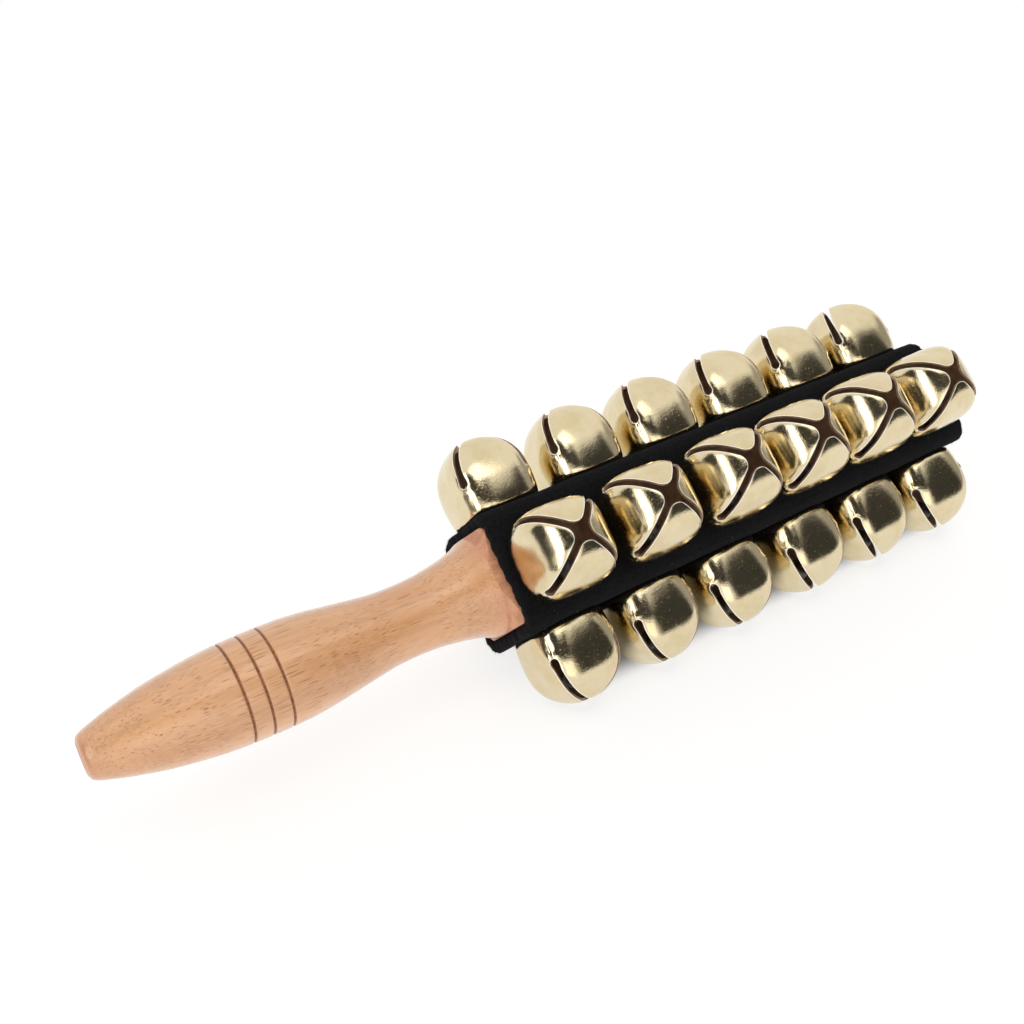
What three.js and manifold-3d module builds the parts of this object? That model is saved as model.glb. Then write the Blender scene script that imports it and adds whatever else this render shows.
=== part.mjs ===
// Hand-held sleigh bells: a turned beech handle with a square core, a felt
// cover, and four rows of six cross-cut jingle bells nailed to the core.
// Millimetres, +Z up. The stick lies along X with its grip towards -X and
// rests on the bells of its two lower rows, so the rows point 45 degrees
// above and below the horizontal.
import * as THREE from 'three';
import { mergeVertices } from 'three/addons/utils/BufferGeometryUtils.js';
import Module from 'manifold-3d';

const wasm = await Module();
wasm.setup();
const { Manifold, Mesh: SolidMesh } = wasm;

// ---------------------------------------------------------------- sizes
const BUTT_X = -131.6;        // end of the grip, measured from the first bell
const BLOCK_X0 = -14.8;       // handle end of the felt
const BLOCK_X1 = 155.4;       // far end of the felt
const FELT_HALF = 17.4;       // half width over the felt
const FELT_BORE = 14.9;       // half width of the felt's inside
const CORE_HALF = 14.6;       // half width of the wooden core
const GROOVES = [-91.8, -86.5, -81.0];
const BELL_GAP = 0.2;         // bell floor above the felt
const NAIL_R = 1.0;
const HOLE_R = 1.35;
const NAIL_REACH = 12.5;      // shank below the bell floor
const HOLE_END = 3.4;         // bottom of a nail hole, from the stick's axis
const PELLET_R = 3.5;

// Distance along the stick of each bell, nailed on by hand.
const ROWS = [
  { name: 'front', turn: 45, at: [-1.1, 28.3, 57.7, 84.5, 111.9, 138.8] },
  { name: 'upper', turn: -45, at: [-2.2, 28.2, 57.3, 86.5, 114.3, 141.9] },
  { name: 'lower', turn: 135, at: [-0.5, 28.3, 57.0, 86.4, 114.3, 142.2] },
  { name: 'back', turn: -135, at: [-1.2, 28.1, 57.2, 85.9, 113.7, 141.2] },
];

// Pellet at rest in a bell that points up and in one that points down:
// offset towards the low side, and height above the felt.
const REST_UP = { side: 7.0, high: 4.9 };
const REST_DOWN = { side: 5.0, high: 16.6 };

// ---------------------------------------------------------------- helpers
function solid(geometry) {
  let g = geometry.clone();
  for (const name of Object.keys(g.attributes)) {
    if (name !== 'position') g.deleteAttribute(name);
  }
  g = mergeVertices(g, 1e-4);
  const index = g.index.array;
  const tris = [];
  for (let i = 0; i < index.length; i += 3) {
    const [a, b, c] = [index[i], index[i + 1], index[i + 2]];
    if (a !== b && b !== c && a !== c) tris.push(a, b, c);
  }
  return new Manifold(new SolidMesh({
    numProp: 3,
    vertProperties: new Float32Array(g.attributes.position.array),
    triVerts: new Uint32Array(tris),
  }));
}

function geometryOf(body) {
  const m = body.getMesh();
  const g = new THREE.BufferGeometry();
  g.setAttribute('position', new THREE.BufferAttribute(new Float32Array(m.vertProperties), 3));
  g.setIndex(new THREE.BufferAttribute(new Uint32Array(m.triVerts), 1));
  g.computeVertexNormals();
  return g;
}

// A closed skin round Z: rings of a rounded square, joined and capped.
const CORNER_ANGLES = [0, 25, 45, 65];
function skin(rings, top) {
  const angles = [];
  for (let q = 0; q < 4; q += 1) for (const a of CORNER_ANGLES) angles.push(((q * 90 + a) * Math.PI) / 180);
  const n = angles.length;
  const pos = [];
  for (const [z, r, e] of rings) {
    for (const a of angles) {
      const c = Math.cos(a), s = Math.sin(a);
      const k = r / Math.pow(Math.pow(Math.abs(c), e) + Math.pow(Math.abs(s), e), 1 / e);
      pos.push(k * c, k * s, z);
    }
  }
  const low = pos.length / 3;
  pos.push(0, 0, rings[0][0]);
  const high = low + 1;
  pos.push(0, 0, top);
  const tris = [];
  for (let i = 0; i < rings.length - 1; i += 1) {
    for (let j = 0; j < n; j += 1) {
      const a = i * n + j, b = i * n + ((j + 1) % n), c = a + n, d = b + n;
      tris.push(a, b, d, a, d, c);
    }
  }
  const last = (rings.length - 1) * n;
  for (let j = 0; j < n; j += 1) {
    tris.push(low, (j + 1) % n, j);
    tris.push(high, last + j, last + ((j + 1) % n));
  }
  return new Manifold(new SolidMesh({
    numProp: 3, vertProperties: new Float32Array(pos), triVerts: new Uint32Array(tris),
  }));
}

// ---------------------------------------------------------------- one bell
// Local frame: floor at z = 0, pole towards +Z, flat sides towards X and Y.
const OUTSIDE = [
  [0.0, 9.6, 2.6],
  [0.9, 11.7, 2.7],
  [2.8, 12.6, 2.8],
  [8.4, 12.75, 2.9],
  [14.2, 11.75, 3.0],
  [18.8, 9.5, 3.1],
  [22.2, 6.0, 3.0],
];
const INSIDE = [
  [0.8, 8.9, 2.6],
  [2.7, 11.75, 2.8],
  [8.4, 11.95, 2.9],
  [14.0, 10.9, 3.0],
  [18.4, 8.4, 3.1],
  [21.4, 5.0, 3.0],
];

// The opening seen along the bell's axis: four slots on the diagonals that
// run together in a star, with the four petal tips rounded.
function starOpening(half, tip, reach) {
  const round = (tip - half * Math.SQRT2) / (Math.SQRT2 - 1);
  const shape = new THREE.Shape();
  const steps = 2;
  for (let q = 0; q < 4; q += 1) {
    const turn = (q * Math.PI) / 2;
    const put = (x, y, first) => {
      const px = x * Math.cos(turn) - y * Math.sin(turn);
      const py = x * Math.sin(turn) + y * Math.cos(turn);
      if (first) shape.moveTo(px, py); else shape.lineTo(px, py);
    };
    // petal tip facing +X, then the slot towards the +X +Y corner
    for (let i = 0; i <= steps; i += 1) {
      const a = Math.PI + Math.PI / 4 - (i / steps) * (Math.PI / 2);
      put(tip + round + round * Math.cos(a), round * Math.sin(a), q === 0 && i === 0);
    }
    const d = reach / Math.SQRT2, w = half / Math.SQRT2;
    put(d + w, d - w, false);
    put(d - w, d + w, false);
  }
  return shape;
}

function makeBell() {
  const shellSolid = skin(OUTSIDE, 24.0).subtract(skin(INSIDE, 23.1));
  const star = new THREE.ExtrudeGeometry(starOpening(1.1, 2.9, 20), { depth: 20, bevelEnabled: false });
  star.translate(0, 0, 10.7);
  let body = shellSolid.subtract(solid(star));
  for (const turn of [45, 135]) {
    const end = new THREE.CylinderGeometry(1.5, 1.5, 40, 4);
    end.rotateZ(Math.PI / 2);
    end.rotateZ((turn * Math.PI) / 180);
    end.translate(0, 0, 10.7);
    body = body.subtract(solid(end));
  }
  // fixing nail: domed head inside the cup, shank through the floor
  const nail = new THREE.LatheGeometry([
    new THREE.Vector2(0, -NAIL_REACH - 1.2),
    new THREE.Vector2(NAIL_R, -NAIL_REACH),
    new THREE.Vector2(NAIL_R, 0.5),
    new THREE.Vector2(2.6, 0.5),
    new THREE.Vector2(2.6, 1.3),
    new THREE.Vector2(1.6, 1.9),
    new THREE.Vector2(0, 2.1),
  ], 6);
  nail.rotateX(Math.PI / 2);
  return body.add(solid(nail)).asOriginal().simplify(0.1);
}

// ---------------------------------------------------------------- wood
function roundedSquare(half, radius) {
  const s = new THREE.Shape();
  const c = half - radius;
  s.absarc(c, c, radius, 0, Math.PI / 2, false);
  s.absarc(-c, c, radius, Math.PI / 2, Math.PI, false);
  s.absarc(-c, -c, radius, Math.PI, 1.5 * Math.PI, false);
  s.absarc(c, -c, radius, 1.5 * Math.PI, 2 * Math.PI, false);
  s.closePath();
  return s;
}

function alongX(shape, x0, x1, curveSegments) {
  const g = new THREE.ExtrudeGeometry(shape, { depth: x1 - x0, bevelEnabled: false, curveSegments });
  g.rotateY(Math.PI / 2);
  g.translate(x0, 0, 0);
  return solid(g);
}

function nailHoles() {
  const holes = [];
  for (const row of ROWS) {
    for (const x of row.at) {
      const g = new THREE.CylinderGeometry(HOLE_R, HOLE_R, 30 - HOLE_END, 6);
      g.rotateX(Math.PI / 2);
      g.translate(0, 0, HOLE_END + (30 - HOLE_END) / 2);
      g.translate(x, 0, 0);
      g.rotateX(((row.turn - 45) * Math.PI) / 180);
      holes.push(solid(g));
    }
  }
  return holes;
}

function makeHandle() {
  const profile = [
    [BUTT_X, 0], [BUTT_X, 4.4], [-131.2, 5.5], [-130.2, 6.3], [-127.4, 7.35],
    [-123.8, 8.5], [-118.2, 10.0], [-112.5, 11.3], [-106.0, 12.3], [-98.6, 13.3],
  ];
  const at = { [-91.8]: 13.7, [-86.5]: 13.87, [-81.0]: 13.95 };
  for (const x of GROOVES) profile.push([x - 0.65, at[x]], [x, at[x] - 0.7], [x + 0.65, at[x]]);
  profile.push(
    [-76, 13.9], [-68, 13.2], [-60.8, 12.2], [-53.8, 11.2], [-47.9, 10.5], [-42, 10.35],
    [-36, 10.55], [-30, 11.3], [-24.5, 12.35], [-21, 13.4], [-18.6, 14.6], [-17.1, 15.7],
    [-16, 17.2], [-15, 19.6], [-13.5, 22], [BLOCK_X1 - 0.4, 22], [BLOCK_X1 - 0.4, 0],
  );
  const lathe = new THREE.LatheGeometry(profile.map(([x, r]) => new THREE.Vector2(r, x)), 30);
  lathe.rotateZ(-Math.PI / 2);
  const square = alongX(roundedSquare(CORE_HALF, 2.8), BLOCK_X0 - 9, BLOCK_X1, 3);
  const grip = alongX(roundedSquare(20, 2), BUTT_X - 1, BLOCK_X0 - 9, 1);
  const turned = solid(lathe);
  let body = turned.intersect(square.add(grip));
  for (const hole of nailHoles()) body = body.subtract(hole);
  return body.asOriginal().simplify(0.03);
}

function makeFelt() {
  const outer = roundedSquare(FELT_HALF, 4.4);
  let body = alongX(outer, BLOCK_X0, BLOCK_X1, 4)
    .subtract(alongX(roundedSquare(FELT_BORE, 3.0), BLOCK_X0 - 1, BLOCK_X1 + 1, 3));
  for (const hole of nailHoles()) body = body.subtract(hole);
  return body.asOriginal().simplify(0.03);
}

// ---------------------------------------------------------------- materials
const beech = new THREE.MeshStandardMaterial({ name: 'beech', color: 0xd8a676, roughness: 0.35, metalness: 0 });
const feltBlack = new THREE.MeshStandardMaterial({ name: 'felt', color: 0x131316, roughness: 0.95, metalness: 0 });
const gold = new THREE.MeshStandardMaterial({ name: 'bell_brass', color: 0xe0cb96, roughness: 0.15, metalness: 1 });
const steel = new THREE.MeshStandardMaterial({ name: 'steel', color: 0xa9abae, roughness: 0.3, metalness: 1 });

function mesh(name, body, material) {
  const m = new THREE.Mesh(geometryOf(body), material);
  m.name = name;
  return m;
}

// ---------------------------------------------------------------- assembly
const group = new THREE.Group();
group.name = 'sleigh_bells';
const stick = new THREE.Group();
stick.name = 'stick';
group.add(stick);

const timber = new THREE.Group();
timber.name = 'timber';
timber.rotation.x = Math.PI / 4;
timber.add(mesh('beech_handle_and_core', makeHandle(), beech));
timber.add(mesh('felt_cover', makeFelt(), feltBlack));
stick.add(timber);

const bellBody = makeBell();
for (const row of ROWS) {
  const rowGroup = new THREE.Group();
  rowGroup.name = `row_${row.name}`;
  rowGroup.rotation.x = (row.turn * Math.PI) / 180;
  const low = -Math.sign(Math.sin(rowGroup.rotation.x));
  const rest = Math.cos(rowGroup.rotation.x) > 0 ? REST_UP : REST_DOWN;
  row.at.forEach((x, i) => {
    const place = new THREE.Group();
    place.name = `place_${row.name}_${i + 1}`;
    place.position.set(x, 0, FELT_HALF + BELL_GAP);
    place.add(mesh(`bell_${row.name}_${i + 1}`, bellBody, gold));
    const pellet = new THREE.Mesh(new THREE.IcosahedronGeometry(PELLET_R, 1), steel);
    pellet.name = `pellet_${row.name}_${i + 1}`;
    pellet.position.set(0, low * rest.side, rest.high - BELL_GAP);
    place.add(pellet);
    rowGroup.add(place);
  });
  stick.add(rowGroup);
}

group.updateMatrixWorld(true);
const box = new THREE.Box3().setFromObject(group, true);
stick.position.set(-(box.min.x + box.max.x) / 2, -(box.min.y + box.max.y) / 2, -box.min.z);
group.updateMatrixWorld(true);

export default group;
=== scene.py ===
"""Hand-held sleigh bells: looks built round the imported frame.

Metres, row frame: +X runs along the stick from the grip to the far end, +Z is
up, and the rows of bells point 45 degrees above and below the horizontal.
"""
import math

import bmesh
import bpy
import numpy as np
from mathutils import Matrix, Vector, noise


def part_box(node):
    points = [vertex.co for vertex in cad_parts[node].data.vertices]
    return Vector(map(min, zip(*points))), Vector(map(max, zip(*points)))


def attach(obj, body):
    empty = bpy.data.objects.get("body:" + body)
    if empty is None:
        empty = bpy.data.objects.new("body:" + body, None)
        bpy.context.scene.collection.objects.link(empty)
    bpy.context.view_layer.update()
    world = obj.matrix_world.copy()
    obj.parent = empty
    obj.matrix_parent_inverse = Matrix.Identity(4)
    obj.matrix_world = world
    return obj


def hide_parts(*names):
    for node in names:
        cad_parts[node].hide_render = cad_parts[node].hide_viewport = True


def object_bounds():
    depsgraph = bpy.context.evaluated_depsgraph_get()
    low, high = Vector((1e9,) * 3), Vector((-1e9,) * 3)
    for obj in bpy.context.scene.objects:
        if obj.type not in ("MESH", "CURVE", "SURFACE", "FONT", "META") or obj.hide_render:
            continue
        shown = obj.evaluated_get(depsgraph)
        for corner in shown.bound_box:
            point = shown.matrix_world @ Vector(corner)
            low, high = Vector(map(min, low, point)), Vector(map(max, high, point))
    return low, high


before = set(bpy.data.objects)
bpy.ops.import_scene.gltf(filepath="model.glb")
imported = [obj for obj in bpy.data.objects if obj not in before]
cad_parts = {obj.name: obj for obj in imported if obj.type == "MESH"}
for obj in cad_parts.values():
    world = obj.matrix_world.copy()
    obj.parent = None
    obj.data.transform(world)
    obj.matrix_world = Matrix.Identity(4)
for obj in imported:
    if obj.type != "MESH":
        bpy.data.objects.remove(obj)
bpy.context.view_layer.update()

MM = 0.001
S45 = math.sqrt(0.5)
ROOT = "stick"
ROW_TURN = {"front": 45, "upper": -45, "lower": 135, "back": -135}

felt_lo, felt_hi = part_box("felt_cover")
wood_lo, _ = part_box("beech_handle_and_core")
AXIS_Z = (felt_lo.z + felt_hi.z) / 2
X0 = wood_lo.x + 131.6 * MM          # the place of the first bell, near enough
FELT_HALF = 17.4 * MM                # half width over the felt
CORE_HALF = 14.6 * MM                # half width of the wooden core
STICK = Matrix.Translation((0, 0, AXIS_Z)) @ Matrix.Rotation(math.pi / 4, 4, "X")


# ------------------------------------------------------------------ camera
def make_camera():
    data = bpy.data.cameras.new("camera")
    data.lens = 43.54
    data.sensor_width = 36.0
    data.clip_start = 0.01
    cam = bpy.data.objects.new("camera", data)
    right = Vector((0.8418, -0.5363, -0.0615)).normalized()
    up = Vector((0.3383, 0.4353, 0.8343))
    back = right.cross(up).normalized()
    up = back.cross(right).normalized()
    m = Matrix((right, up, back)).transposed().to_4x4()
    m.translation = Vector((X0 - 150.0 * MM, -249.4 * MM, AXIS_Z + 210.1 * MM))
    cam.matrix_world = m
    bpy.context.scene.collection.objects.link(cam)
    bpy.context.scene.camera = cam


make_camera()


# ------------------------------------------------------------------ nodes
class Tree:
    """Short forms for building a node tree."""

    def __init__(self, tree):
        self.tree = tree
        self.tree.nodes.clear()

    def new(self, kind):
        return self.tree.nodes.new(kind)

    def link(self, a, b):
        self.tree.links.new(a, b)

    def put(self, node, socket, value):
        s = node.inputs[socket]
        if isinstance(value, bpy.types.NodeSocket):
            self.link(value, s)
        else:
            s.default_value = value

    def math(self, op, a, b=0.0):
        n = self.new("ShaderNodeMath")
        n.operation = op
        self.put(n, 0, a)
        self.put(n, 1, b)
        return n.outputs[0]

    def span(self, value, low, high, to_low=0.0, to_high=1.0):
        """Smooth step from to_low to to_high as the value goes from low to high."""
        n = self.new("ShaderNodeMapRange")
        n.interpolation_type = "SMOOTHSTEP"
        self.put(n, 0, value)
        for i, v in enumerate((low, high, to_low, to_high)):
            n.inputs[i + 1].default_value = v
        return n.outputs[0]

    def mix(self, fac, a, b):
        n = self.new("ShaderNodeMix")
        n.data_type = "RGBA"
        self.put(n, "Factor", fac)
        sockets = [i for i in n.inputs if i.type == "RGBA"]
        for s, v in zip(sockets, (a, b)):
            if isinstance(v, bpy.types.NodeSocket):
                self.link(v, s)
            else:
                s.default_value = (*v, 1.0)
        return [o for o in n.outputs if o.type == "RGBA"][0]


class Nodes(Tree):
    """The node tree of a new material."""

    def __init__(self, name):
        self.mat = bpy.data.materials.new(name)
        self.mat.use_nodes = True
        super().__init__(self.mat.node_tree)
        self.bsdf = self.new("ShaderNodeBsdfPrincipled")
        out = self.new("ShaderNodeOutputMaterial")
        self.link(self.bsdf.outputs[0], out.inputs[0])

    def coords(self, scale=(1, 1, 1), move=(0, 0, 0)):
        tc = self.new("ShaderNodeTexCoord")
        mp = self.new("ShaderNodeMapping")
        self.link(tc.outputs["Object"], mp.inputs["Vector"])
        mp.inputs["Scale"].default_value = scale
        mp.inputs["Location"].default_value = move
        return mp.outputs[0]

    def noise(self, vec, scale=1.0, detail=2.0, rough=0.5, distort=0.0):
        n = self.new("ShaderNodeTexNoise")
        self.link(vec, n.inputs["Vector"])
        n.inputs["Scale"].default_value = scale
        n.inputs["Detail"].default_value = detail
        n.inputs["Roughness"].default_value = rough
        n.inputs["Distortion"].default_value = distort
        return n.outputs["Fac"]

    def voronoi(self, vec):
        n = self.new("ShaderNodeTexVoronoi")
        self.link(vec, n.inputs["Vector"])
        n.inputs["Scale"].default_value = 1.0
        return n

    def bump(self, height, strength, distance, normal=None):
        n = self.new("ShaderNodeBump")
        n.inputs["Strength"].default_value = strength
        n.inputs["Distance"].default_value = distance
        self.link(height, n.inputs["Height"])
        if normal is not None:
            self.link(normal, n.inputs["Normal"])
        return n.outputs[0]

    def set(self, **values):
        names = {
            "color": "Base Color", "rough": "Roughness", "metal": "Metallic",
            "coat": "Coat Weight", "coat_rough": "Coat Roughness",
            "sheen": "Sheen Weight", "sheen_rough": "Sheen Roughness",
            "sheen_tint": "Sheen Tint", "normal": "Normal",
            "specular": "Specular IOR Level", "coat_normal": "Coat Normal",
        }
        for k, v in values.items():
            if isinstance(v, tuple) and len(v) == 3:
                v = (*v, 1.0)
            self.put(self.bsdf, names[k], v)
        return self.mat


def flecks(n, scale, move, wide, channel, share):
    """Fine flecks along the grain, in the given share of the cells."""
    cells = n.voronoi(n.coords(scale, move))
    drawn = n.new("ShaderNodeSeparateColor")
    n.link(cells.outputs["Color"], drawn.inputs[0])
    shape = n.span(cells.outputs["Distance"], *wide)
    return n.math("MULTIPLY", shape, n.span(drawn.outputs[channel], *share))


def beech_material():
    n = Nodes("beech_lacquered")
    broad = n.noise(n.coords((9, 70, 70)), 1, 3, 0.5, 0.4)
    rings = n.noise(n.coords((5, 260, 120), (0, 0.7, 0)), 1, 4, 0.55, 0.3)
    fine = n.noise(n.coords((70, 2600, 2600)), 1, 2, 0.6)
    pale = n.mix(n.span(broad, 0.3, 0.7), (0.63, 0.30, 0.135), (0.77, 0.405, 0.195))
    col = n.mix(n.span(rings, 0.35, 0.68, 0.0, 0.55), pale, (0.50, 0.235, 0.105))
    col = n.mix(n.span(fine, 0.35, 0.75, 0.0, 0.36), col, (0.82, 0.52, 0.31))
    short = flecks(n, (120, 2900, 2900), (0.3, 0.1, 0.2), (0.36, 0.20), 0, (0.52, 0.60))
    dark = flecks(n, (80, 2100, 2100), (0.9, 0.4, 0.7), (0.28, 0.16), 1, (0.66, 0.74))
    col = n.mix(n.math("MULTIPLY", short, 0.60), col, (0.34, 0.13, 0.045))
    col = n.mix(n.math("MULTIPLY", dark, 0.88), col, (0.28, 0.10, 0.032))
    # darker and redder where the wood faces along the stick, at the flare and the butt: partly the
    # end grain's own colour, partly painted shade cast by the felt next to the flare
    place = n.new("ShaderNodeTexCoord")
    facing = n.new("ShaderNodeSeparateXYZ")
    n.link(place.outputs["Normal"], facing.inputs[0])
    across = n.span(n.math("ABSOLUTE", facing.outputs[0]), 0.22, 0.80, 0.0, 0.75)
    col = n.mix(across, col, (0.56, 0.235, 0.125))
    height = n.math("SUBTRACT", n.math("MULTIPLY", fine, 0.5), n.math("MULTIPLY", dark, 0.6))
    lacquer = n.noise(n.coords((900, 1500, 1500)), 1, 3, 0.6)
    return n.set(color=col, rough=n.span(broad, 0.2, 0.8, 0.32, 0.44), specular=0.4,
                 normal=n.bump(height, 0.25, 0.0002), coat=1.0, coat_rough=0.16,
                 coat_normal=n.bump(lacquer, 0.45, 0.00022))


def burnt_material():
    n = Nodes("groove_burnt")
    f = n.noise(n.coords((300, 1500, 1500)), 1, 3)
    col = n.mix(n.span(f, 0.3, 0.7), (0.20, 0.082, 0.033), (0.36, 0.165, 0.070))
    return n.set(color=col, rough=0.55, specular=0.3, coat=0.3, coat_rough=0.3)


def end_grain_material():
    n = Nodes("beech_end_grain")
    r = n.noise(n.coords((40, 420, 160), (0, 0.4, 0)), 1, 3, 0.5, 0.6)
    v = n.voronoi(n.coords((300, 2600, 2600)))
    col = n.mix(n.span(r, 0.35, 0.65), (0.50, 0.215, 0.115), (0.64, 0.31, 0.175))
    col = n.mix(n.span(v.outputs["Distance"], 0.35, 0.12, 0.0, 0.6), col, (0.26, 0.11, 0.045))
    return n.set(color=col, rough=0.6, coat=0.25, coat_rough=0.3,
                 normal=n.bump(v.outputs["Distance"], 0.3, 0.0002))


def brass_material():
    n = Nodes("bell_pale_gold")
    info = n.new("ShaderNodeObjectInfo")
    tc = n.new("ShaderNodeTexCoord")
    off = n.new("ShaderNodeVectorMath")
    off.operation = "ADD"
    n.link(tc.outputs["Object"], off.inputs[0])
    n.link(n.math("MULTIPLY", info.outputs["Random"], 1.7), off.inputs[1])
    vec = off.outputs[0]
    cloud = n.noise(vec, 130, 3, 0.55)
    grain = n.noise(vec, 2600, 2, 0.6)
    pores = n.noise(vec, 900, 3, 0.65)
    col = n.mix(n.span(cloud, 0.35, 0.7), (0.76, 0.65, 0.435), (0.70, 0.585, 0.36))
    specks = n.noise(vec, 2300, 3, 0.7)
    rough = n.span(cloud, 0.4, 0.75, 0.08, 0.13)
    rough = n.math("ADD", rough, n.span(pores, 0.58, 0.75, 0.0, 0.16))
    rough = n.math("ADD", rough, n.span(specks, 0.50, 0.72, 0.0, 0.18))
    # painted highlight: a near-white, rougher and less metallic colour along every cut edge stands in
    # for the light its rounded burr catches
    edge = n.new("ShaderNodeAttribute")
    edge.attribute_name = "edge_mm"
    ragged = n.math("ADD", edge.outputs["Fac"], n.math("MULTIPLY", n.noise(vec, 700, 2), 0.16))
    painted_edge_highlight = n.span(ragged, 0.36, 0.24, 0.0, 1.0)
    col = n.mix(painted_edge_highlight, col, (1.0, 0.95, 0.85))
    rough = n.math("ADD", rough, n.math("MULTIPLY", painted_edge_highlight, 0.25))
    metal = n.math("SUBTRACT", 1.0, n.math("MULTIPLY", painted_edge_highlight, 0.75))
    nrm = n.bump(grain, 0.22, 0.00012)
    nrm = n.bump(pores, 0.09, 0.00022, nrm)
    return n.set(color=col, metal=metal, rough=rough, normal=nrm)


def cut_material():
    n = Nodes("bell_cut_face")
    g = n.noise(n.coords(), 700, 3)
    # the cut faces are dark brown as painted shade, standing in for the shadow inside the narrow
    # slits
    col = n.mix(n.span(g, 0.3, 0.7), (0.30, 0.20, 0.12), (0.46, 0.33, 0.20))
    return n.set(color=col, metal=0.6, rough=0.5, normal=n.bump(g, 0.2, 0.0001))


def inner_material():
    n = Nodes("bell_inside")
    g = n.noise(n.coords(), 260, 3)
    col = n.mix(n.span(g, 0.3, 0.7), (0.33, 0.205, 0.118), (0.48, 0.300, 0.180))
    return n.set(color=col, metal=0.0, rough=0.7, specular=0.2, normal=n.bump(g, 0.2, 0.0002))


def felt_material():
    n = Nodes("felt_black")
    fib = n.noise(n.coords(), 1900, 4, 0.7, 0.6)
    lump = n.noise(n.coords(), 260, 3, 0.6)
    col = n.mix(n.span(fib, 0.3, 0.75), (0.0035, 0.0035, 0.0045), (0.013, 0.0125, 0.0145))
    h = n.math("ADD", n.math("MULTIPLY", fib, 0.6), n.math("MULTIPLY", lump, 0.8))
    return n.set(color=col, rough=0.95, specular=0.06, sheen=0.02, sheen_rough=0.5,
                 sheen_tint=(0.75, 0.75, 0.85), normal=n.bump(h, 0.9, 0.0005))


def fuzz_material():
    n = Nodes("felt_fibre")
    f = n.noise(n.coords(), 500, 2)
    col = n.mix(n.span(f, 0.3, 0.7), (0.006, 0.006, 0.007), (0.024, 0.023, 0.026))
    return n.set(color=col, rough=0.8, specular=0.2)


def lint_material():
    n = Nodes("lint_pale")
    f = n.noise(n.coords(), 400, 2)
    col = n.mix(n.span(f, 0.35, 0.65), (0.16, 0.15, 0.17), (0.42, 0.40, 0.42))
    return n.set(color=col, rough=0.8)


def steel_material():
    n = Nodes("pellet_steel")
    f = n.noise(n.coords(), 600, 3)
    col = n.mix(n.span(f, 0.3, 0.7), (0.10, 0.09, 0.08), (0.20, 0.18, 0.165))
    rough = n.span(f, 0.3, 0.7, 0.38, 0.55)
    return n.set(color=col, metal=0.8, rough=rough, normal=n.bump(f, 0.1, 0.0002))


M = {
    "beech": beech_material(), "burnt": burnt_material(), "end": end_grain_material(),
    "brass": brass_material(), "cut": cut_material(), "inner": inner_material(),
    "felt": felt_material(), "fuzz": fuzz_material(), "lint": lint_material(),
    "steel": steel_material(),
}


# ------------------------------------------------------------------ meshes
def show(name, me):
    ob = bpy.data.objects.new(name, me)
    bpy.context.scene.collection.objects.link(ob)
    return ob


def shade_smooth(me):
    me.polygons.foreach_set("use_smooth", np.ones(len(me.polygons), dtype=bool))


def faces_out(me, merge=0.0):
    """Turn the faces of a closed mesh outwards, after joining doubled points."""
    bm = bmesh.new()
    bm.from_mesh(me)
    if merge:
        bmesh.ops.remove_doubles(bm, verts=bm.verts, dist=merge)
    bmesh.ops.recalc_face_normals(bm, faces=bm.faces)
    bm.to_mesh(me)
    bm.free()


def new_object(name, verts, faces, mats, slots=None, matrix=None, smooth=True):
    me = bpy.data.meshes.new(name)
    me.from_pydata([tuple(v) for v in verts], [], [tuple(f) for f in faces])
    for m in mats:
        me.materials.append(m)
    if slots is not None:
        me.polygons.foreach_set("material_index", np.asarray(slots, dtype=np.int32))
    if smooth:
        shade_smooth(me)
    me.update()
    if matrix is not None:
        me.transform(matrix)
    return show(name, me)


def ride(ob, body=ROOT, replaces=()):
    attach(ob, body)
    if replaces:
        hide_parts(*replaces)
    return ob


def pchip(xs, ys, x):
    """Monotone curve through the points."""
    xs, ys = np.asarray(xs, float), np.asarray(ys, float)
    h, d = np.diff(xs), np.diff(ys) / np.diff(xs)
    m = np.zeros_like(xs)
    for i in range(1, len(xs) - 1):
        if d[i - 1] * d[i] > 0:
            w1, w2 = 2 * h[i] + h[i - 1], h[i] + 2 * h[i - 1]
            m[i] = (w1 + w2) / (w1 / d[i - 1] + w2 / d[i])
    m[0], m[-1] = d[0], d[-1]
    x = np.clip(np.asarray(x, float), xs[0], xs[-1])
    k = np.clip(np.searchsorted(xs, x, side="right") - 1, 0, len(xs) - 2)
    t = (x - xs[k]) / h[k]
    return ((2 * t**3 - 3 * t**2 + 1) * ys[k] + (t**3 - 2 * t**2 + t) * h[k] * m[k]
            + (-2 * t**3 + 3 * t**2) * ys[k + 1] + (t**3 - t**2) * h[k] * m[k + 1])


# ------------------------------------------------------------------ bell
# All in millimetres. The meridian of the flat side runs from the middle of the
# floor to the pole: radius and height at each point.
POLE = 24.0
MERIDIAN = [
    (0, 0), (5, 0), (9.4, 0.02), (11.1, 0.15), (11.9, 0.6), (12.3, 1.4), (12.55, 2.8),
    (12.72, 5.2), (12.75, 8.1), (12.55, 11.1), (12.05, 14.0), (11.1, 16.6), (9.75, 18.9),
    (8.0, 20.8), (6.0, 22.25), (4.0, 23.2), (2.0, 23.8), (0, POLE),
]
SQUARENESS = ([0, 0.8, 2.8, 8.4, 13.0, 19.0, POLE], [2.9, 3.1, 3.2, 3.4, 3.7, 3.8, 3.4])
SLOT_END_Z = 9.0     # height of a slot's closed end
SLOT_HALF = 1.06     # half width of a slot along the petals
SLOT_SWELL = 0.28    # added just above the closed end
END_LENGTH = 1.38    # length of the slot's round end
TIP = 2.9            # a petal's tip from the middle of the star
SHEET = 0.84         # thickness of the metal
CUT_ROUND = 0.20     # rounding of the cut edges


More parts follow.
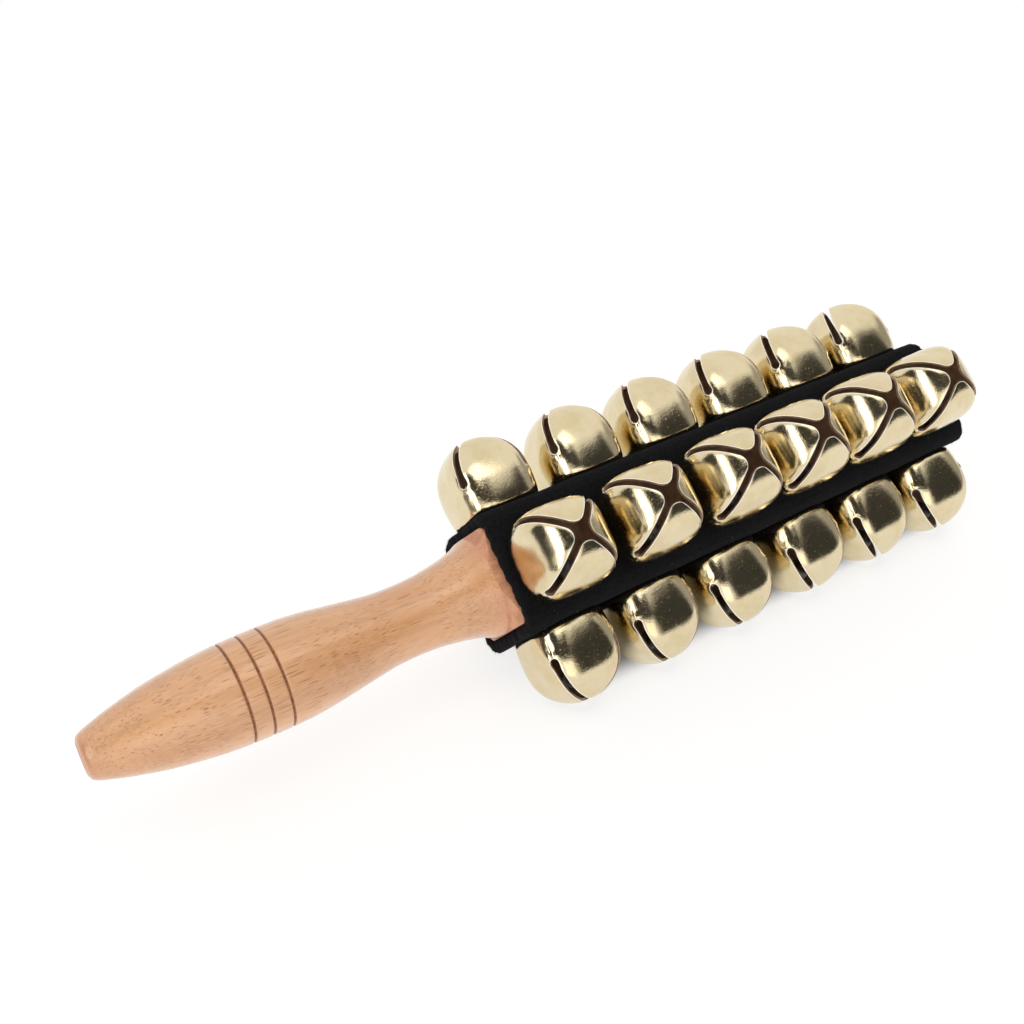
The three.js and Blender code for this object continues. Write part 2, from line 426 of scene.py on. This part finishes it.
def meridian_table():
    """Distance along the meridian, radius and height, with its corners cut three times."""
    pts = np.array(MERIDIAN, float)
    for _ in range(3):
        a, b = pts[:-1], pts[1:]
        mid = np.stack([0.75 * a + 0.25 * b, 0.25 * a + 0.75 * b], 1).reshape(-1, 2)
        pts = np.vstack([pts[:1], mid, pts[-1:]])
    s = np.concatenate([[0], np.cumsum(np.hypot(*np.diff(pts, axis=0).T))])
    return s, pts[:, 0], pts[:, 1]


MS, MR, MZ = meridian_table()
SLOT_END = float(np.interp(SLOT_END_Z, MZ, MS))
# the rounding of a petal's tip that runs smoothly into the slots
TIP_ROUND = (TIP - SLOT_HALF * math.sqrt(2)) / (math.sqrt(2) - 1)
TIP_CENTRE = TIP + TIP_ROUND
TIP_ANGLE = math.atan2(TIP_ROUND * S45, TIP_CENTRE - TIP_ROUND * S45)


def ring_factor(phi, e):
    """Radius over flat-side radius of the rounded square at angle phi."""
    c, s = np.abs(np.cos(phi)), np.abs(np.sin(phi))
    return (c**e + s**e) ** (-1.0 / e)


def bell_radius(s, phi):
    """Radius and height of the shell at meridian distance s and angle phi."""
    z = np.interp(s, MS, MZ)
    return np.interp(s, MS, MR) * ring_factor(phi, np.interp(z, *SQUARENESS)), z


def corner_gap(radius, phi):
    """Distance from the nearer of the side's two corner lines."""
    return min(abs(radius * math.sin(math.pi / 4 - phi)), abs(radius * math.sin(math.pi / 4 + phi)))


def bisect(low, high, short):
    """The place between low and high where short() stops being true."""
    for _ in range(40):
        middle = (low + high) / 2
        if short(middle):
            low = middle
        else:
            high = middle
    return (low + high) / 2


def slot_half(s):
    """Half width of a slot at meridian distance s."""
    d = s - SLOT_END
    width = SLOT_HALF + SLOT_SWELL * np.exp(-(((d - 1.4) / 1.5) ** 2))
    closing = 1 - np.clip(d, 0, END_LENGTH) / END_LENGTH
    return width * np.sqrt(np.clip(1 - closing**2, 0, 1))


def edge_angle(s):
    """Angle of a petal's edge at meridian distance s."""
    half = slot_half(s)

    def inside(phi):
        return bell_radius(s, phi)[0] * math.sin(math.pi / 4 - phi) > half

    return bisect(0.0, math.pi / 4, inside)


def tip_place(phi):
    """Meridian distance of a petal's round tip at angle phi."""
    chord = max(TIP_ROUND**2 - (TIP_CENTRE * math.sin(phi)) ** 2, 0)
    reach = TIP_CENTRE * math.cos(phi) - math.sqrt(chord)
    return bisect(SLOT_END, MS[-1], lambda s: bell_radius(s, phi)[0] > reach)


def bell_grid():
    """Rows of (meridian distance, angle) over one side, tips, and the rows below the slots."""
    # columns lie close together beside the corner lines, at these distances from them
    beside = [0, 0.12, 0.30, 0.50, 0.70, 0.90, 1.12, 1.38, 1.70, 2.15, 2.85, 3.9, 5.3, 7.0, 8.8, 10.7]
    share = 1 - np.array(beside) / 12.6
    columns = np.concatenate([-share, [0.0], share[::-1]])
    tips = [tip_place(u * TIP_ANGLE) for u in columns]
    length = tips[-1] - SLOT_END
    below = np.concatenate([[0.9, 2.6, 4.6], np.linspace(6.4, SLOT_END, 26)])
    # rows lie close together round the closed end and at the tip
    closed_end = END_LENGTH * (1 - np.cos(np.linspace(0, math.pi / 2, 7)))
    sides = np.linspace(END_LENGTH, length - 0.75, 27)
    above = np.concatenate([closed_end[1:], sides[1:], [length - 0.5, length - 0.25, length]])
    rows = [[(s, u * math.pi / 4) for u in columns] for s in below]
    for v in above / length:
        edge = edge_angle(SLOT_END + v * length) if v < 0.9999 else TIP_ANGLE
        rows.append([(SLOT_END + v * (tip - SLOT_END), u * edge) for u, tip in zip(columns, tips)])
    return rows, tips, len(below)


BELL_ROWS, PETAL_TIPS, ROWS_BELOW = bell_grid()


def crumple(below, gap, phi, z, wander):
    """How far the metal stands out where it was pressed below a slot's closed end."""
    fade = min(1.0, z / 0.8)
    close = math.exp(-((max(below, 0.0) / 4.2) ** 2))
    facet = 1.15 + 0.10 * below
    stronger = 1.0 if phi > 0 else 0.5
    bulge = math.exp(-(((below - 0.8) / 1.2) ** 2))
    push = -0.09 * stronger * fade * close * math.exp(-(((gap - facet) / 0.45) ** 2))
    push -= 0.16 * fade * (0.25 + 0.75 * close) * max(0.0, 1 - (gap / facet) ** 2)
    push += 0.26 * bulge * math.exp(-((gap / 1.4) ** 2))
    push += 0.30 * wander * fade * math.exp(-((gap / 1.7) ** 2)) * (0.35 * close + 0.65 * bulge)
    return push


def bell_point(s, phi, seed):
    """Point of the outer surface, with the marks of the press and the hammer."""
    radius, z = bell_radius(s, phi)
    x, y = radius * math.cos(phi), radius * math.sin(phi)
    gap = corner_gap(radius, phi)
    below = SLOT_END - s
    push = 0.0
    if below > -0.3 and z > 0.05:
        wander = noise.noise(Vector((x * 0.55 + seed, y * 0.55, z * 0.55 + 5)))
        wander += 0.45 * noise.noise(Vector((x * 1.5 + seed, y * 1.5, z * 1.5)))
        push += crumple(below, gap, phi, z, wander)
    if s > SLOT_END:
        # the petal's edge is drawn in a little along the slot
        drawn = math.exp(-(((gap - slot_half(s)) / 0.55) ** 2))
        push -= 0.05 * drawn * min(1.0, (s - SLOT_END) / 2.0)
    wave = noise.noise(Vector((x * 0.12 + seed * 3.1, y * 0.12, z * 0.12))) * 0.10
    push += wave * min(1.0, z / 3.0)
    n = Vector((x, y, (z - 9.5) * 0.9)).normalized()
    return x + n.x * push, y + n.y * push, z + n.z * push


def from_edge(s, phi, tip):
    """Distance to the nearest cut edge, roughly, along the metal."""
    gap = corner_gap(bell_radius(s, phi)[0], phi)
    d = s - SLOT_END
    if d < END_LENGTH:
        beside = math.hypot(d - END_LENGTH, gap) - float(slot_half(SLOT_END + END_LENGTH))
    else:
        beside = gap - float(slot_half(s))
    return min(max(beside, 0.0), max(tip - s, 0.0), 4.0)


def bell_skin(seed):
    """Outer surface of a bell: points, faces, and each point's distance from a cut edge."""
    verts, edge_mm, faces, index = [], [], [], {}
    last = len(PETAL_TIPS) - 1
    first_row = []
    for q in range(4):
        ct, st = math.cos(q * math.pi / 2), math.sin(q * math.pi / 2)
        rows = []
        for i, row in enumerate(BELL_ROWS):
            rows.append([])
            for j, (s, phi) in enumerate(row):
                # below the slots the column on a corner line is shared by two sides
                shared = j == last and i < ROWS_BELOW
                key = (i, (q + 1) % 4, 0) if shared else (i, q, j)
                if key not in index:
                    index[key] = len(verts)
                    x, y, z = bell_point(s, phi, seed)
                    verts.append((x * ct - y * st, x * st + y * ct, z))
                    edge_mm.append(from_edge(s, phi, PETAL_TIPS[j]))
                rows[-1].append(index[key])
        for low, high in zip(rows, rows[1:]):
            for j in range(last):
                faces.append((low[j], low[j + 1], high[j + 1], high[j]))
        first_row += rows[0][:-1]
    middle = len(verts)
    verts.append((0.0, 0.0, 0.0))
    edge_mm.append(4.0)
    for a, b in zip(first_row, first_row[1:] + first_row[:1]):
        faces.append((middle, b, a))
    return verts, faces, edge_mm


def make_bell_mesh(name, seed):
    verts, faces, edge_mm = bell_skin(seed)
    ob = new_object(name, np.array(verts) * MM, faces, [M["brass"], M["inner"], M["cut"]])
    kept = ob.data.attributes.new("edge_mm", "FLOAT", "POINT")
    kept.data.foreach_set("value", np.array(edge_mm, dtype=np.float32))
    bm = bmesh.new()
    bm.from_mesh(ob.data)
    bmesh.ops.recalc_face_normals(bm, faces=bm.faces)
    # outward is up at the top of the shell
    top = max(bm.faces, key=lambda f: f.calc_center_median().z)
    if top.normal.z < 0:
        bmesh.ops.reverse_faces(bm, faces=bm.faces)
    bm.to_mesh(ob.data)
    bm.free()
    wall = ob.modifiers.new("wall", "SOLIDIFY")
    wall.thickness = SHEET * MM
    wall.offset = -1
    wall.use_even_offset = False
    wall.material_offset = 1
    wall.material_offset_rim = 2
    rim = ob.modifiers.new("rim", "BEVEL")
    rim.width = CUT_ROUND * MM
    rim.segments = 3
    rim.material = 0
    rim.limit_method = "ANGLE"
    rim.angle_limit = math.radians(50)
    rim.harden_normals = False
    bpy.context.view_layer.update()
    dg = bpy.context.evaluated_depsgraph_get()
    me = bpy.data.meshes.new_from_object(ob.evaluated_get(dg))
    me.name = name
    bpy.data.objects.remove(ob)
    shade_smooth(me)
    return me


def make_nail_mesh():
    """Round-headed nail: radius and height from the top of the head to the point."""
    profile = [
        (0, 2.05), (0.9, 1.98), (1.7, 1.72), (2.3, 1.3), (2.55, 0.95), (2.5, 0.75), (1.1, 0.68),
        (0.95, 0.5), (0.95, -11.0), (0.9, -12.2), (0.45, -13.1), (0, -13.6),
    ]
    sides = 24
    verts, faces = [], []
    for r, z in profile:
        for j in range(sides):
            a = 2 * math.pi * j / sides
            verts.append((r * math.cos(a) * MM, r * math.sin(a) * MM, z * MM))
    for i in range(len(profile) - 1):
        for j in range(sides):
            a, b = i * sides + j, i * sides + (j + 1) % sides
            faces.append((a, a + sides, b + sides, b))
    me = bpy.data.meshes.new("nail")
    me.from_pydata(verts, [], faces)
    faces_out(me, merge=1e-6)
    me.materials.append(M["steel"])
    shade_smooth(me)
    return me


def make_pellet_mesh():
    """Cast steel ball, slightly out of round, with a faint parting line."""
    radius = 3.45 * MM
    bm = bmesh.new()
    bmesh.ops.create_icosphere(bm, subdivisions=4, radius=radius)
    for v in bm.verts:
        p = v.co / radius
        k = 1 + 0.008 * noise.noise(p * 2.2) + 0.004 * noise.noise(p * 7)
        v.co *= k + 0.006 * math.exp(-((p.z / 0.05) ** 2))
    me = bpy.data.meshes.new("pellet")
    bm.to_mesh(me)
    bm.free()
    me.materials.append(M["steel"])
    shade_smooth(me)
    return me


# Degrees that each bell of a row leans, and that one bell is turned on its nail.
LEAN = {"front": [-3.2, -3.2, -3.0, -2.4, -1.6, -0.8]}
SET = {"bell_lower_6": 5}
FULL_TURN = 6.28


def placed(name, mesh, matrix):
    """A copy of the mesh moved into place, so that its object needs no turn."""
    me = mesh.copy()
    me.name = name
    me.transform(matrix)
    return show(name, me)


def bell_place(row, i):
    """The middle of a bell's floor, with +Z away from the stick."""
    return (Matrix.Translation((PLACES[row][i], 0, AXIS_Z))
            @ Matrix.Rotation(math.radians(ROW_TURN[row]), 4, "X")
            @ Matrix.Translation((0, 0, FELT_HALF + 0.2 * MM)))


def make_bells():
    kinds = [make_bell_mesh(f"bell_kind_{k}", k + 1) for k in range(4)]
    nail = make_nail_mesh()
    pellet = make_pellet_mesh()
    crown = Matrix.Translation((0, 0, POLE * MM))
    rng = np.random.default_rng(11)
    count = 0
    for row in ROW_TURN:
        for i in range(6):
            key = f"{row}_{i + 1}"
            yaw = math.radians(rng.uniform(-1.6, 1.6))
            quarter = math.pi / 2 * int(rng.integers(4))
            place = bell_place(row, i)
            # nailed by hand: some bells lean, turned about their crown
            lean = Matrix.Rotation(math.radians(LEAN.get(row, [0] * 6)[i]), 4, "X")
            yaw += math.radians(SET.get(f"bell_{key}", 0))
            turned = place @ crown @ lean @ crown.inverted() @ Matrix.Rotation(yaw + quarter, 4, "Z")
            shell = placed(f"shell_{key}", kinds[count % len(kinds)], turned)
            ride(shell, ROOT, [f"bell_{key}"])
            pin = placed(f"nail_{key}", nail, place)
            ride(pin, ROOT)
            lo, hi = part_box(f"pellet_{key}")
            spin = Matrix.Rotation(rng.uniform(0, FULL_TURN), 4, "X")
            spin = spin @ Matrix.Rotation(rng.uniform(0, FULL_TURN), 4, "Y")
            ball = placed(f"ball_{key}", pellet, Matrix.Translation((lo + hi) / 2) @ spin)
            ride(ball, f"pellet_{key}", [f"pellet_{key}"])
            count += 1


# ------------------------------------------------------------------ wood
# Turned profile in millimetres: place along the stick from the first bell, and radius.
PROFILE = [
    (-131.6, 4.6), (-131.45, 5.1), (-131.0, 5.75), (-130.2, 6.3), (-128.8, 6.9), (-127.4, 7.35),
    (-123.8, 8.5), (-118.2, 10.0), (-112.5, 11.3), (-106.0, 12.35), (-98.6, 13.3), (-91.8, 13.75),
    (-86.5, 13.9), (-81.0, 13.95), (-76, 13.88), (-68, 13.2), (-60.8, 12.2), (-53.8, 11.2),
    (-47.9, 10.5), (-42, 10.32), (-36, 10.55), (-30, 11.3), (-24.5, 12.35), (-21, 13.4),
    (-18.6, 14.6), (-17.1, 15.7), (-16, 17.2), (-15, 19.6), (-13.5, 22.5), (-8, 26.0), (154, 26.0),
]
GROOVES = (-91.8, -86.5, -81.0)
SHOULDER = (-17.6, -14.0)        # where the lathe cuts across the square block's grain
FAR_CHAMFER = 153.9
LACQUERED, BURNT, ACROSS_GRAIN = 0, 1, 2    # the handle's materials


def rounded_square_radius(phi, half, rad):
    """Distance from the centre to a rounded square at angle phi."""
    c, s = np.abs(np.cos(phi)), np.abs(np.sin(phi))
    big, small = np.maximum(c, s), np.minimum(c, s)
    flat = half / big
    k = half - rad
    # corner circle at (k, k)
    b = k * (c + s)
    disc = np.clip(b * b - (2 * k * k - rad * rad), 0, None)
    corner = b + np.sqrt(disc)
    return np.where(flat * small > k, corner, flat)


def handle_stations():
    """Places along the stick, close together at the butt, the grooves and the flare."""
    xs = [-131.6, -131.55, -131.45, -131.3, -131.0, -130.6, -130.2, -129.6]
    stretches = [(-129, -93.2, 40), (-79, -24, 60), (-23.5, -12, 64), (-11, -6, 6), (-4, 154.2, 20)]
    for start, end, count in stretches:
        xs += list(np.linspace(start, end, count))
    for g in GROOVES:
        xs.append(g)
        for d in (0.16, 0.32, 0.46, 0.62, 1.0):
            xs += [g - d, g + d]
    return np.array(sorted(xs + [154.7, 155.0]))


def close_end(verts, faces, slots, ring, flip):
    """Close one end of the handle with rings towards the middle, in end grain."""
    rim = np.array([verts[v] for v in ring])
    middle = np.array([rim[0][0], 0, 0])
    count = len(ring)
    for shrink in (0.8, 0.55, 0.3, 0.12):
        inner = [len(verts) + j for j in range(count)]
        verts += [tuple(p) for p in middle + (rim - middle) * shrink]
        for j in range(count):
            a, b, c, d = ring[j], ring[(j + 1) % count], inner[(j + 1) % count], inner[j]
            faces.append((a, d, c, b) if flip else (a, b, c, d))
            slots.append(ACROSS_GRAIN)
        ring = inner
    centre = len(verts)
    verts.append(tuple(middle))
    for j in range(count):
        a, b = ring[j], ring[(j + 1) % count]
        faces.append((a, centre, b) if flip else (a, b, centre))
        slots.append(ACROSS_GRAIN)


def make_handle():
    cols = 192
    phi = np.linspace(0, 2 * math.pi, cols, endpoint=False)
    xs = handle_stations()
    turned = pchip(*zip(*PROFILE), xs)
    for g in GROOVES:
        away = np.abs(xs - g)
        turned = turned + 0.05 * np.exp(-(((away - 0.8) / 0.25) ** 2))
        turned = turned - 0.50 * np.clip(1 - away / 0.48, 0, 1) ** 0.8
    square = rounded_square_radius(phi, CORE_HALF / MM, 2.8)
    verts, faces, slots = [], [], []
    for x, a in zip(xs, turned):
        # smooth minimum of the turned profile and the square blank
        t = np.clip(0.5 + 0.5 * (square - a) / 0.5, 0, 1)
        r = square * (1 - t) + a * t - 0.5 * t * (1 - t)
        if x > FAR_CHAMFER:
            r = r - (x - FAR_CHAMFER) * 0.45
        for j in range(cols):
            verts.append((x * MM + X0, r[j] * math.cos(phi[j]) * MM, r[j] * math.sin(phi[j]) * MM))
    for i in range(len(xs) - 1):
        mid = (xs[i] + xs[i + 1]) / 2
        finish = LACQUERED
        if any(abs(mid - g) < 0.31 for g in GROOVES):
            finish = BURNT
        elif SHOULDER[0] < mid < SHOULDER[1]:
            finish = ACROSS_GRAIN
        for j in range(cols):
            a, b = i * cols + j, i * cols + (j + 1) % cols
            faces.append((a, b, b + cols, a + cols))
            slots.append(finish)
    far_ring = (len(xs) - 1) * cols
    close_end(verts, faces, slots, list(range(cols)), True)
    close_end(verts, faces, slots, list(range(far_ring, far_ring + cols)), False)
    ob = new_object("handle_turned", verts, faces, [M["beech"], M["burnt"], M["end"]], slots, STICK)
    faces_out(ob.data)
    shade_smooth(ob.data)
    ride(ob, ROOT, ["beech_handle_and_core"])


# ------------------------------------------------------------------ felt
FELT_BORE = 14.95      # half width of the felt's inside, millimetres
CUT_ZONE = 3.0 * MM    # how far the ragged cut edge reaches


def square_loop(half, rad, per_side, per_corner):
    """Points round a rounded square, with outward normals."""
    pts, nrm = [], []
    k = half - rad
    for q in range(4):
        t = q * math.pi / 2
        c, s = math.cos(t), math.sin(t)
        for j in range(per_side):
            y = -k + 2 * k * j / per_side
            pts.append((half * c - y * s, half * s + y * c))
            nrm.append((c, s))
        for j in range(per_corner):
            a = t + math.pi / 2 * j / per_corner
            pts.append((k * (c - s) + rad * math.cos(a), k * (s + c) + rad * math.sin(a)))
            nrm.append((math.cos(a), math.sin(a)))
    return np.array(pts), np.array(nrm)


def bell_places():
    """Where the bells of each row stand along the stick."""
    out = {}
    for row in ROW_TURN:
        boxes = [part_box(f"bell_{row}_{i}") for i in range(1, 7)]
        out[row] = [(lo.x + hi.x) / 2 for lo, hi in boxes]
    return out


PLACES = bell_places()


def row_of(y, z):
    """The row of bells on the face that looks along (y, z) in the stick's own frame."""
    if abs(z) > 0.9:
        return "front" if z > 0 else "back"
    # the stick's +Y is the upper row: turned by 45 degrees it points up and back
    return "upper" if y > 0 else "lower"


def felt_lift(x, y, z, ny, nz):
    """How far the felt stands proud of its nominal surface, in metres."""
    if max(abs(ny), abs(nz)) > 0.95:
        # pressed down round each nail
        row = row_of(ny, nz)
        across = z if row in ("upper", "lower") else y
        d = min(math.hypot(x - bx, across) for bx in PLACES[row])
        lift = 0.55 * MM * min(max((d - 9.0 * MM) / (5.0 * MM), 0.0), 1.0)
    else:
        lift = 0.35 * MM
    lift += 0.16 * MM * noise.noise(Vector((x * 140, y * 140, z * 140)))
    lift += 0.07 * MM * noise.noise(Vector((x * 520, y * 520, z * 520 + 7)))
    return lift


def make_felt():
    outer, outward = square_loop(FELT_HALF / MM, 4.5, 26, 14)
    inner, _ = square_loop(FELT_BORE, 2.9, 26, 14)
    count = len(outer)
    x_near, x_far = felt_lo.x, felt_hi.x
    verts, faces = [], []

    def ragged(j, end):
        """How far the cut edge wanders at point j of the loop."""
        y, z = outer[j]
        w = noise.noise(Vector((y * 0.33, z * 0.33, 3.0 + end * 5))) * 0.75
        w += noise.noise(Vector((y * 1.6, z * 1.6, 9.0 + end * 5))) * 0.30
        return w * MM

    def cut_x(j, x):
        """Place along the stick of point j, moved with the ragged ends."""
        near = max(0.0, 1 - (x - x_near) / CUT_ZONE)
        far = max(0.0, 1 - (x_far - x) / CUT_ZONE)
        return min(x + ragged(j, 0) * near - ragged(j, 1) * far - 0.35 * MM * near, x_far)

    # outer skin from near to far, with rounded edges, then the inner skin back
    edge = [(0.0, 1.0), (0.04, 0.68), (0.2, 0.42), (0.45, 0.2), (0.85, 0.06)]
    rows = [(x_near + along * MM, drop) for along, drop in edge]
    rows += [(x_near + t * MM, 0.0) for t in np.linspace(1.4, 168.8, 200)]
    rows += [(x_far - along * MM, drop) for along, drop in edge[::-1]]
    for x, drop in rows:
        # the wrap is loose at the grip end, most of all at the hidden corners
        loose = math.exp(-(((x - x_near) / (7 * MM)) ** 2))
        for j in range(count):
            y, z = outer[j] * MM
            ny, nz = outward[j]
            corner = max(0.0, -ny * 0.9 - nz * 0.75) + max(0.0, ny * 0.6 - nz * 0.9)
            lift = felt_lift(x, y, z, ny, nz) + loose * (0.2 + max(0.0, corner - 0.55)) * MM
            lift -= drop * 1.65 * MM
            verts.append((cut_x(j, x), y + ny * lift, z + nz * lift))
    inner_xs = [x_near + t * MM for t in np.linspace(4, 166, 24)]
    inner_xs = [x_far - 0.15 * MM] + inner_xs[::-1] + [x_near + 0.15 * MM]
    for x in inner_xs:
        for j in range(count):
            y, z = inner[j] * MM
            verts.append((cut_x(j, x), y, z))
    total = len(rows) + len(inner_xs)
    for i in range(total):
        k = (i + 1) % total
        for j in range(count):
            after = (j + 1) % count
            faces.append((i * count + j, i * count + after, k * count + after, k * count + j))
    ob = new_object("felt_wrap", verts, faces, [M["felt"]], None, STICK)
    faces_out(ob.data)
    shade_smooth(ob.data)
    ride(ob, ROOT, ["felt_cover"])
    return ob


def fibres(name, places, material, width, lengths, rng, lean=0.6):
    """Fine hairs: each is a bent three-sided strip."""
    verts, faces = [], []
    for p, normal in places:
        t1 = normal.orthogonal().normalized()
        t2 = normal.cross(t1)
        a = rng.uniform(0, 2 * math.pi)
        side = t1 * math.cos(a) + t2 * math.sin(a)
        length = rng.uniform(*lengths)
        d = (normal * (1 - lean * rng.uniform(0.4, 1.0)) + side * rng.uniform(0.3, 1.2)).normalized()
        bend = (side * rng.uniform(-1, 1) + t1 * rng.uniform(-0.6, 0.6)).normalized()
        thick = width * rng.uniform(0.7, 1.2)
        base = len(verts)
        for s in range(4):
            f = s / 3
            c = p + d * (length * f) + bend * (length * 0.45 * f * f)
            w = thick * (1 - 0.7 * f)
            u = d.orthogonal().normalized()
            v = d.cross(u)
            for m in range(3):
                b = 2 * math.pi * m / 3
                verts.append(tuple(c + (u * math.cos(b) + v * math.sin(b)) * w))
        for s in range(3):
            for m in range(3):
                i0, i1 = base + s * 3 + m, base + s * 3 + (m + 1) % 3
                faces.append((i0, i1, i1 + 3, i0 + 3))
        faces.append((base + 2, base + 1, base))
        faces.append((base + 9, base + 10, base + 11))
    return new_object(name, verts, faces, [material])


def make_fuzz(felt):
    rng = np.random.default_rng(5)
    felt.data.update()
    polys = felt.data.polygons
    centres, normals = np.zeros(len(polys) * 3), np.zeros(len(polys) * 3)
    polys.foreach_get("center", centres)
    polys.foreach_get("normal", normals)
    centres, normals = centres.reshape(-1, 3), normals.reshape(-1, 3)
    radial = centres[:, 1:] - np.array([0, AXIS_Z])
    out = (normals[:, 1:] * radial).sum(1) > 0.3 * np.linalg.norm(radial, axis=1)
    skin = np.where(out)[0]
    cut = np.where((centres[:, 0] < felt_lo.x + 0.9 * MM) | (centres[:, 0] > felt_hi.x - 0.9 * MM))[0]
    # the corners, where hairs show against the light, have more of them
    stick_y = (radial[:, 0] + radial[:, 1]) * S45
    stick_z = (radial[:, 1] - radial[:, 0]) * S45
    corner = np.where((np.abs(stick_y) > 13.6 * MM) & (np.abs(stick_z) > 13.6 * MM) & out)[0]
    places = []
    for ids, count in ((skin, 2600), (corner, 1800), (cut, 1500)):
        for k in rng.choice(ids, count):
            shift = Vector(rng.uniform(-1, 1, 3)) * 0.35 * MM
            normal = Vector(normals[k])
            places.append((Vector(centres[k]) + shift - normal * 0.1 * MM, normal))
    fuzz = fibres("felt_fuzz", places, M["fuzz"], 0.028 * MM, (0.35 * MM, 1.0 * MM), rng)
    ride(fuzz, ROOT)
    lint = [(Vector(centres[k]), Vector(normals[k])) for k in rng.choice(skin, 70)]
    specks = fibres("felt_lint", lint, M["lint"], 0.035 * MM, (0.25 * MM, 0.9 * MM), rng, lean=1.0)
    ride(specks, ROOT)
    return fuzz, specks


# ------------------------------------------------------------------ build
make_handle()
felt = make_felt()
fuzz, specks = make_fuzz(felt)
make_bells()


# ------------------------------------------------------------------ stage
def floor_material():
    n = Nodes("floor_pale")
    # the floor glows except close under the bells, where it lies in their shade
    place = n.new("ShaderNodeSeparateXYZ")
    n.link(n.coords(), place.inputs[0])
    shade = 1.0
    first_x, last_x = PLACES["lower"][0], felt_hi.x - 6 * MM
    for axis, low, high in ((0, first_x, last_x), (1, -21 * MM, 23 * MM)):
        off = n.math("ABSOLUTE", n.math("SUBTRACT", place.outputs[axis], (low + high) / 2))
        half, fade = (high - low) / 2, 5 * MM
        shade = n.math("MULTIPLY", n.span(off, half + fade, half - fade), shade)
    n.bsdf.inputs["Emission Color"].default_value = (1, 1, 1, 1)
    n.put(n.bsdf, "Emission Strength", n.math("SUBTRACT", 0.75, n.math("MULTIPLY", shade, 0.65)))
    cloud = n.noise(n.coords(), 3, 2)
    return n.set(color=n.mix(cloud, (0.29, 0.29, 0.29), (0.31, 0.31, 0.31)), rough=0.9, specular=0.1)


def make_stage():
    """A square floor under the lowest bells."""
    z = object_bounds()[0][2]
    s = 0.5
    corners = [(-s, -s, z), (s, -s, z), (s, s, z), (-s, s, z)]
    floor = new_object("floor", corners, [(0, 1, 2, 3)], [floor_material()], smooth=False)


def direction(azimuth, elevation):
    a, e = math.radians(azimuth), math.radians(elevation)
    return Vector((math.cos(e) * math.cos(a), math.cos(e) * math.sin(a), math.sin(e)))


# Soft boxes and dark flags of the studio, far away: azimuth and elevation of the
# middle, half width and half height, softness of the edge, tilt, and brightness.
PANELS = [
    ("open_side", -15, 16, 20, 17, 14, 0, 0.40),
    ("dark_room", -52, 21, 22, 26, 9, 0, 0.05),
    ("room_behind_camera", -113, 52, 27, 16, 5, 0, 0.05),
    ("far_wall", 172, 26, 17, 20, 6, -8, 0.06),
    ("low_wall", -168, 2, 15, 9, 5, 0, 0.22),
    ("front_card", -100, 16, 18, 18, 4, 0, 1.7),
    ("top_soft_box", -72, 71, 15, 13, 6, 0, 2.2),
    ("key_soft_box", -153, 30, 9.0, 28, 3, 30, 3.4),
]
SKY = (1.0, 0.985, 0.95)


def make_world():
    world = bpy.data.worlds.new("studio")
    bpy.context.scene.world = world
    world.use_nodes = True
    n = Tree(world.node_tree)
    tc = n.new("ShaderNodeTexCoord")

    def dot(vec):
        """How far the looked-at direction points along vec."""
        product = n.new("ShaderNodeVectorMath")
        product.operation = "DOT_PRODUCT"
        n.link(tc.outputs["Generated"], product.inputs[0])
        product.inputs[1].default_value = vec
        return product.outputs["Value"]

    def edge(value, half, soft):
        """One within the half width, in degrees, and zero outside it."""
        outer = math.tan(math.radians(half + soft / 2))
        inner = math.tan(math.radians(max(half - soft / 2, 0.0)))
        return n.span(n.math("ABSOLUTE", value), outer, inner)

    colour = SKY
    for _, az, el, wide, high, soft, tilt, level in PANELS:
        d = direction(az, el)
        right = d.cross(Vector((0, 0, 1))).normalized()
        right = Matrix.Rotation(math.radians(tilt), 3, d) @ right
        up = right.cross(d)
        ahead = dot(d)
        front = n.math("GREATER_THAN", ahead, 0.05)
        depth = n.math("MAXIMUM", ahead, 0.05)
        across = edge(n.math("DIVIDE", dot(right), depth), wide, soft)
        along = edge(n.math("DIVIDE", dot(up), depth), high, soft)
        mask = n.math("MULTIPLY", n.math("MULTIPLY", across, along), front)
        colour = n.mix(mask, colour, tuple(c * level for c in SKY))
    # the camera sees plain white behind the object
    path = n.new("ShaderNodeLightPath")
    colour = n.mix(path.outputs["Is Camera Ray"], colour, (1.0, 1.0, 1.0))
    bg = n.new("ShaderNodeBackground")
    n.link(colour, bg.inputs["Color"])
    out = n.new("ShaderNodeOutputWorld")
    n.link(bg.outputs[0], out.inputs[0])


make_stage()
make_world()
bpy.context.scene.view_settings.view_transform = "Standard"
